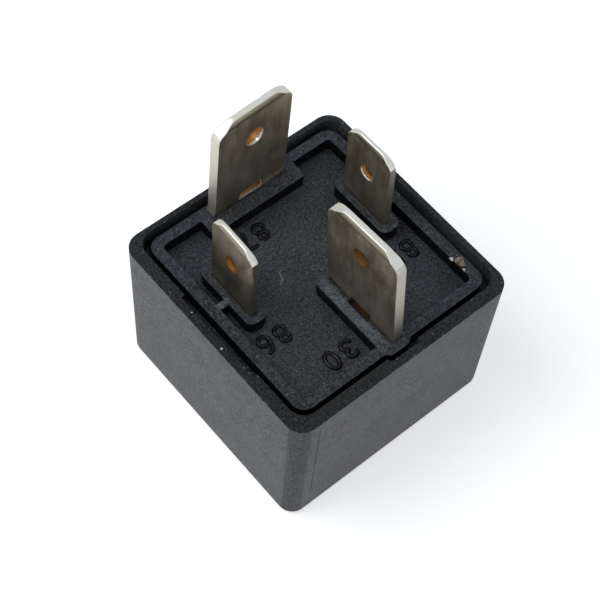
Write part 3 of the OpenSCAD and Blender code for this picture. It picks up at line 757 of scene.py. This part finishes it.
# %% Cover and base with rounded edges
COVER_ROUNDING = 0.14
BASE_ROUNDING = 0.13
cover_shape = whole_faces("cover")
cover_count = round_edges(cover_shape, COVER_ROUNDING, lambda e: lower_end(e) > rim_z - 0.05)
mark_faces(cover_shape, "rim", lambda normal, at: normal.z > 0.5 and at.z > rim_z - 0.6)
mark_faces(cover_shape, "corner", lambda normal, at: min(abs(normal.x), abs(normal.y)) > 0.2)
finish_copy("cover_rounded", cover_shape, "cover", cover_plastic)

base_shape = whole_faces("base_plate")
base_count = round_edges(base_shape, BASE_ROUNDING, lambda e: lower_end(e) > deck_z - 1.7)
mark_faces(base_shape, "sunk_floor", lambda normal, at: normal.z > 0.9 and at.z < deck_z - 1.5)
mark_faces(base_shape, "side", lambda normal, at: abs(normal.z) < 0.3)
finish_copy("base_rounded", base_shape, "base_plate", base_plastic)
print("edges rounded:", cover_count, base_count)

# %% [markdown]
# Each blade is copied in the same way. Above the base it also leans a little, by one to four
# degrees, as blades do that have been in a socket a few times. The facts of each blade stand
# in one table: the axis across its thickness, its leans along X and Y and its turn, in
# degrees, then how dark the painted shade on its edges is (stain_and_edge_shade) and how
# stained its faces (stain), from 0 to 1. torn_from starts the walls of its holes deeper in the
# torn brass, which is painted darker there as shade, and window_drop lowers its window, in
# millimetres, until the sill hides in the base.

# %% Facts of the blades
BLADES = {
    "terminal_30": dict(across="x", lean_x=-3.6, lean_y=2.3, yaw=1.7, stain_and_edge_shade=0.35, stain=0.1,
                        torn_from=0.68, window_drop=0.5),
    "terminal_87": dict(across="y", lean_x=1.4, lean_y=-0.1, yaw=2.3, stain_and_edge_shade=0.0, stain=0.0),
    "terminal_85": dict(across="x", lean_x=1.2, lean_y=3.5, yaw=0.5, stain_and_edge_shade=0.75, stain=0.0),
    "terminal_86": dict(across="x", lean_x=1.2, lean_y=1.7, yaw=-2.0, stain_and_edge_shade=0.9, stain=0.65,
                        torn_from=0.35),
}
FOOT = 2.0
WINDOW_ZONE = 1.5
HOLE_MARGIN = 1.3
BEVEL_ZONE = 1.0


def blade_frame(node, across):
    """Middle of the blade above its foot, its half thickness and half width in millimetres,
    and the index of the axis across its thickness."""
    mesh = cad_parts[node].data
    points = np.empty(len(mesh.vertices) * 3)
    mesh.vertices.foreach_get("co", points)
    points = points.reshape(-1, 3) / MM
    above = points[points[:, 2] > deck_z + FOOT]
    low, high = above.min(0), above.max(0)
    thin = 0 if across == "x" else 1
    half = (high - low) / 2
    return (low + high) / 2, half[thin], half[1 - thin], thin


print("blades:", list(BLADES))

# %% [markdown]
# While a blade is still straight, its cut edges, its pressed bevels and the walls of its holes
# are told apart by where they lie and which way they look. Each becomes an attribute that the
# tin's material reads. An attribute stays with the metal when the blade leans, where a
# pattern in space would be left behind.

# %% Marks on a blade


def mark_blade(shape, middle, half_t, half_w, thin, stain_and_edge_shade, stain, torn_from, window_in_shade):
    """Corner attributes: cut_edge is 1 where a face doesn't look along the thin axis, outside
    the holes; pressed is 1 on the bevels of the tip; punched runs through the thickness from
    torn_from to 1 on the walls of the holes, and is 1 on the walls of a window in shade; the
    darkening attribute is stain on the faces, and painted shade on the edges below the tip."""
    cut = shape.loops.layers.float.new("cut_edge")
    wall = shape.loops.layers.float.new("punched")
    bevel = shape.loops.layers.float.new("pressed")
    tarnish = shape.loops.layers.float.new("stain_and_edge_shade")
    wide = 1 - thin
    tip = max(v.co.z for v in shape.verts)
    for face in shape.faces:
        centre = face.calc_center_median()
        along_thin = abs(face.normal[thin])
        flat = along_thin > 0.98
        inside = abs(centre[wide] - middle[wide]) < half_w - HOLE_MARGIN
        near_tip = max(v.co.z for v in face.verts) > tip - BEVEL_ZONE
        is_hole = inside and not flat and not near_tip
        is_window = is_hole and centre.z < deck_z + WINDOW_ZONE
        pressed = near_tip and 0.8 < along_thin <= 0.98
        for loop in face.loops:
            depth = ((loop.vert.co[thin] - middle[thin]) / half_t + 1) / 2
            loop[cut] = 0.0 if flat or is_hole or pressed else 1.0
            loop[wall] = max(depth, torn_from) if is_hole else 0.0
            # Painted shade: the walls of a window take the darkest brass.
            if is_window and window_in_shade:
                loop[wall] = 1.0
            loop[bevel] = float(pressed)
            # Stain on the faces; painted shade on the edges below the tip.
            loop[tarnish] = stain if flat else 0.0 if near_tip or is_hole else stain_and_edge_shade


def lean(points, middle, lean_x, lean_y, yaw):
    """Points of a blade after its lean. With h the height above the deck, a point moves by
    h tan(lean) along X and Y, and by sin(turn) (-dy, dx) about the blade's middle. The turn
    grows to yaw over the first millimetre, as s^2 (3 - 2 s)."""
    h = np.maximum(points[:, 2] - deck_z, 0)
    s = np.minimum(h, 1)
    turn = np.sin(math.radians(yaw) * s ** 2 * (3 - 2 * s))
    dx, dy = points[:, 0] - middle[0], points[:, 1] - middle[1]
    shift_x = h * math.tan(math.radians(lean_x)) - dy * turn
    shift_y = h * math.tan(math.radians(lean_y)) + dx * turn
    return points + np.column_stack([shift_x, shift_y, np.zeros_like(h)])


print("attributes: cut_edge, punched, pressed, dull")

# %% [markdown]
# To dress a blade, the corners beside its tip are softened first, then its outline is
# rounded, but not its holes, which the punch left sharp. A few cuts just above the deck give
# the metal places to bend, so the lean starts in the plane of the deck and the straight
# blade below it still fits its slot.

# %% Dress the blades
TIP_CORNER = 0.35
CHAMFER_ZONE = 2.0
CHAMFER_ANGLES = (math.radians(20), math.radians(70))
OUTLINE_ROUNDING = 0.09
BEND_CUTS = (0.01, 0.25, 0.5, 0.75, 1.0)


def dress_blade(node, across, lean_x, lean_y, yaw, stain_and_edge_shade, stain, torn_from=0.01,
                window_drop=0.0):
    """A rounded, marked and leaning copy of one blade, from its row in BLADES."""
    shape = whole_faces(node)
    middle, half_t, half_w, thin = blade_frame(node, across)
    wide = 1 - thin
    reach = half_w - HOLE_MARGIN
    tip = max(v.co.z for v in shape.verts)
    for v in shape.verts:
        in_window = deck_z + 0.05 < v.co.z < deck_z + WINDOW_ZONE
        if in_window and abs(v.co[wide] - middle[wide]) < reach:
            v.co.z -= window_drop

    def at_chamfer(edge):
        """True for an edge through the thickness, where a chamfer meets the outline."""
        way = (edge.verts[0].co - edge.verts[1].co).normalized()
        angle = edge.calc_face_angle(0)
        turns = CHAMFER_ANGLES[0] < angle < CHAMFER_ANGLES[1]
        return lower_end(edge) > tip - CHAMFER_ZONE and turns and abs(way[thin]) > 0.9

    def on_outline(edge):
        """True for the outline of the blade, and not for its punched holes."""
        at = (edge.verts[0].co + edge.verts[1].co) / 2
        punched = abs(at[wide] - middle[wide]) < reach and at.z < tip - BEVEL_ZONE
        return lower_end(edge) > deck_z - 0.3 and not punched

    bmesh.ops.bevel(shape, geom=[e for e in shape.edges if at_chamfer(e)], offset=TIP_CORNER,
                    segments=3, profile=0.5, affect="EDGES", clamp_overlap=True,
                    offset_type="OFFSET")
    count = round_edges(shape, OUTLINE_ROUNDING, on_outline)
    for height in BEND_CUTS:
        bmesh.ops.bisect_plane(
            shape, geom=shape.verts[:] + shape.edges[:] + shape.faces[:], dist=1e-5,
            plane_co=(0, 0, deck_z + height), plane_no=(0, 0, 1))
    mark_blade(shape, middle, half_t, half_w, thin, stain_and_edge_shade, stain, torn_from, window_drop > 0)
    finish_copy(node + "_blade", shape, node, tinned_brass,
                bend=lambda points: lean(points, middle, lean_x, lean_y, yaw))
    print(node, "edges rounded:", count, "half width:", round(half_w, 2))


for node, facts in BLADES.items():
    dress_blade(node, **facts)

# %% [markdown]
# The terminal numbers 30, 85, 86 and 87 stand on the sunk floor of the base as low glossy
# strokes. They are the general numbers of this kind of relay. Each digit is a few paths, made
# of arcs and lines in a box about 1 wide and 2 high with its middle at 0. Text objects would
# be quicker, but a moulded number has one even stroke and round ends, which few fonts have.

# %% Paths of the digits


def arc(centre, radii, start, end, steps=20):
    """Points on an ellipse: centre + radii * (cos a, sin a), a from start to end in degrees."""
    a = np.radians(np.linspace(start, end, steps))
    return np.column_stack([centre[0] + radii[0] * np.cos(a), centre[1] + radii[1] * np.sin(a)])


def line(a, b, steps=8):
    """Evenly spaced points on the straight line from a to b."""
    share = np.linspace(0, 1, steps)[:, None]
    return np.array(a) * (1 - share) + np.array(b) * share


LOW_BOWL = ((0, -0.43), (0.56, 0.50))
FLAG_AND_BELLY = np.vstack([
    line((0.48, 0.92), (-0.38, 0.92)), line((-0.40, 0.84), (-0.50, 0.16))[1:],
    arc((-0.02, -0.33), (0.58, 0.58), 128, -145)])
ROOF_AND_LEG = np.vstack([
    line((-0.52, 0.92), (0.54, 0.92)), arc((1.9, -0.93), (2.05, 1.9), 140, 180)])
DIGITS = {
    "0": [arc((0, 0), (0.56, 0.92), 90, 450, 36)],
    "3": [arc((0, 0.47), (0.47, 0.44), 165, -80), arc(*LOW_BOWL, 80, -160)],
    "5": [FLAG_AND_BELLY],
    "6": [arc(*LOW_BOWL, 90, 450, 30), arc((0.36, -0.43), (0.92, 1.37), 180, 100)],
    "7": [ROOF_AND_LEG],
    "8": [arc((0, 0.48), (0.45, 0.43), 90, 450, 28), arc(*LOW_BOWL, 90, 450, 30)],
}
print("digits:", sorted(DIGITS))

# %% [markdown]
# A stroke is a path swept by a flattened ellipse, so it has soft shoulders that catch a
# glint, and its lower half is sunk in the floor. All rings are worked out at once as an
# array: rows are points of the path, columns go round the ellipse. The faces come from the
# same grid: point (i, j) has the number i * around + j, and each face joins four neighbours.

# %% Sweep a stroke
CAP_RINGS = 4


def grid_faces(rows, around, ring=False):
    """Quads of a grid whose columns close on themselves. As a ring its rows do too; otherwise
    one flat face closes each end. All of them point outwards."""
    i, j = np.mgrid[0:rows if ring else rows - 1, 0:around]
    below, right = (i + 1) % rows, (j + 1) % around
    quads = np.stack([i * around + j, i * around + right, below * around + right,
                      below * around + j], axis=-1)
    faces = quads.reshape(-1, 4).tolist()
    if not ring:
        faces += [list(range(around))[::-1], list(range((rows - 1) * around, rows * around))]
    return faces


def sweep_stroke(path, width, height, sides=12):
    """Points and faces of a tube along a flat path. Ring point k lies at width / 2 * cos(k) to
    the side and height * sin(k) up. At open ends the rings shrink along a quarter circle."""
    closed = np.allclose(path[0], path[-1])
    ahead = np.gradient(path, axis=0)
    if closed:
        ahead[0] = path[1] - path[-2]
        path, ahead = path[:-1], ahead[:-1]
    ahead /= np.linalg.norm(ahead, axis=1, keepdims=True)
    size = np.ones(len(path))
    if not closed:
        turn = np.linspace(0, math.pi / 2, CAP_RINGS, endpoint=False)
        lead = path[0] - ahead[0] * (width / 2 * np.cos(turn))[:, None]
        tail = path[-1] + ahead[-1] * (width / 2 * np.cos(turn[::-1]))[:, None]
        path = np.vstack([lead, path, tail])
        ahead = np.vstack([np.tile(ahead[0], (CAP_RINGS, 1)), ahead,
                           np.tile(ahead[-1], (CAP_RINGS, 1))])
        size = np.concatenate([np.sin(turn), size, np.sin(turn[::-1])]) + 0.02
    side = np.column_stack([-ahead[:, 1], ahead[:, 0]])
    k = np.linspace(0, 2 * math.pi, sides, endpoint=False)
    reach = np.outer(size, width / 2 * np.cos(k))
    points = np.dstack([path[:, None, 0] + reach * side[:, None, 0],
                        path[:, None, 1] + reach * side[:, None, 1],
                        np.outer(size, height * np.sin(k))]).reshape(-1, 3)
    return points, grid_faces(len(path), sides, ring=closed)


def piece_from(name, points, faces, material, slot):
    """A smooth-shaded piece from points in millimetres, fixed to the housing."""
    mesh = bpy.data.meshes.new(name)
    mesh.from_pydata((np.array(points) * MM).tolist(), [], faces)
    mesh.polygons.foreach_set("use_smooth", np.ones(len(faces), bool))
    mesh.validate()
    piece = bpy.data.objects.new(name, mesh)
    scene.collection.objects.link(piece)
    paint(piece, material)
    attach(piece, "housing")
    return piece


print("rings at each open end of a stroke:", CAP_RINGS)

# %% [markdown]
# The numbers are read from the side of blade 87: their letters run along -X and stand up
# along -Y. Where the mould was polished for them, the same black plastic comes out darker and
# smoother, so it gets a material of its own.

# %% Place the numbers
FLOOR_Z = deck_z - 1.6
BASE_OFF_CENTRE = 0.4
STROKE_W = 0.48
STROKE_H = 0.22
DIGIT_SIZE = 1.05


def number_on_base(name, digits):
    """digits is a list of (digit, x, y): each digit's middle in the frame of the base."""
    points, faces = [], []
    for digit, x, y in digits:
        for path in DIGITS[digit]:
            stroke, sheet = sweep_stroke(path * DIGIT_SIZE, STROKE_W, STROKE_H)
            middle = (x + BASE_OFF_CENTRE, y + BASE_OFF_CENTRE, FLOOR_Z)
            placed = np.array(middle) + stroke * (-1, -1, 1)
            start = sum(len(p) for p in points)
            points.append(placed)
            faces += [[i + start for i in face] for face in sheet]
    return piece_from(name, np.vstack(points), faces, digit_plastic, "base_plastic")


def glossy_black(name):
    """The base's black where the mould was polished: darker, smoother, hardly mottled."""
    material, tree, surface, place = new_material(name)
    grain = use_group(tree, filled_grain, Vector=place, Mottle_size=GRAIN_SIZE, Speck_share=0.1)
    colour = blend_colour(tree, grain.outputs["Mottle"],
                          (0.001, 0.001, 0.001), (0.004, 0.004, 0.005))
    join(tree, colour, surface.inputs["Base Color"])
    join(tree, fade(tree, grain.outputs["Tooth"], 0, 1, 0.10, 0.20), surface.inputs["Roughness"])
    surface.inputs["Specular IOR Level"].default_value = 0.16
    return material


digit_plastic = glossy_black("digit_plastic")
numbers = [
    number_on_base("number_87", [("8", -1.4, 7.1), ("7", -3.3, 7.0)]),
    number_on_base("number_86", [("8", -7.4, -3.6), ("6", -9.45, -3.6)]),
    number_on_base("number_30", [("3", -3.3, -9.0), ("0", -5.5, -9.0)]),
    number_on_base("number_85", [("8", 9.35, -3.85), ("5", 7.3, -3.85)]),
]
print("numbers:", [(n.name, len(n.data.polygons)) for n in numbers])

# %% [markdown]
# The base was torn from its gate when it left the mould: a ragged tan nub stands on the border
# near blade 85, with three pale crumbs beside it, whose whitish colour paints the white glints
# seen there. Each is a ball whose radius is shaken by a few sine waves. That is cheap and
# always closed, and looks torn at this size. The white specks on the nub are painted glints too.

# %% Gate nub and crumbs
TORN = ((0.07, 0.05, 0.04), (0.52, 0.38, 0.28))
PALE = ((0.45, 0.45, 0.44), (0.95, 0.95, 0.94))


def rough_lump(centre, radii, shake, phase, rows=10, around=14):
    """Ball point r * (cos a cos b, sin a cos b, sin b), r = 1 + shake * (sin waves of a, b)."""
    b = np.radians(np.linspace(-88, 88, rows))[:, None]
    a = np.linspace(0, 2 * math.pi, around, endpoint=False)[None, :]
    waves = (np.sin(3 * a + phase) * np.cos(2 * b) + 0.7 * np.sin(5 * a - 2 * phase + 3 * b)
             + 0.5 * np.sin(7 * b + phase))
    r = 1 + shake * waves
    ball = np.dstack([r * np.cos(a) * np.cos(b), r * np.sin(a) * np.cos(b), r * np.sin(b)])
    points = np.array(centre) + ball.reshape(-1, 3) * np.array(radii)
    return points, grid_faces(rows, around)


def torn_plastic(name, dark, light):
    """Two-tone torn nylon, blotched from dark to light, a little waxy."""
    material, tree, surface, place = new_material(name)
    grain = use_group(tree, filled_grain, Vector=place, Mottle_size=0.35, Speck_share=0.6)
    colour = blend_colour(tree, grain.outputs["Mottle"], dark, light)
    # Painted glints: white specks on the torn plastic.
    colour = blend_colour(tree, grain.outputs["Specks"], colour, (0.9, 0.9, 0.88))
    join(tree, colour, surface.inputs["Base Color"])
    surface.inputs["Roughness"].default_value = 0.38
    return material


nub_plastic = torn_plastic("torn_nub", *TORN)
crumb_dust_and_glint_plastic = torn_plastic("pale_crumb", *PALE)
NUB_AT = (11.9, -8.6, deck_z + 0.12)
NUB_RADII = (0.5, 0.62, 0.42)
# Each crumb, whose pale colour paints a glint: its place from the nub, its radius, and the
# phase that gives it its own shape.
GLINT_CRUMBS = (((-0.45, 0.8, -0.02), 0.20, 1.1), ((-0.3, -0.9, -0.06), 0.15, 2.3),
          ((0.1, -0.55, 0.0), 0.11, 4.0))
lump = rough_lump(NUB_AT, NUB_RADII, shake=0.16, phase=0.6)
piece_from("gate_nub", *lump, nub_plastic, "base_plastic")
for index, (shift, size, phase) in enumerate(GLINT_CRUMBS):
    at = [NUB_AT[i] + shift[i] for i in range(3)]
    lump = rough_lump(at, (size, size * 1.2, size * 0.7), shake=0.2, phase=phase)
    piece_from(f"crumb_{index + 1}", *lump, crumb_dust_and_glint_plastic, "base_plastic")
print("gate nub and crumbs:", 1 + len(GLINT_CRUMBS))

# %% [markdown]
# Two grains of dust lie on the cover's rim, beside blade 86. They are lumps like the crumbs,
# smaller and flatter, and ride with the cover.

# %% Dust on the rim
DUST = (((-13.55, -1.7, rim_z + 0.02), 0.13, 3.0), ((-13.3, 3.3, rim_z), 0.09, 5.0))
for index, (at, size, phase) in enumerate(DUST):
    lump = rough_lump(at, (size, size, size * 0.6), shake=0.15, phase=phase)
    piece_from(f"dust_{index + 1}", *lump, crumb_dust_and_glint_plastic, "cover_plastic")
print("grains of dust:", len(DUST))
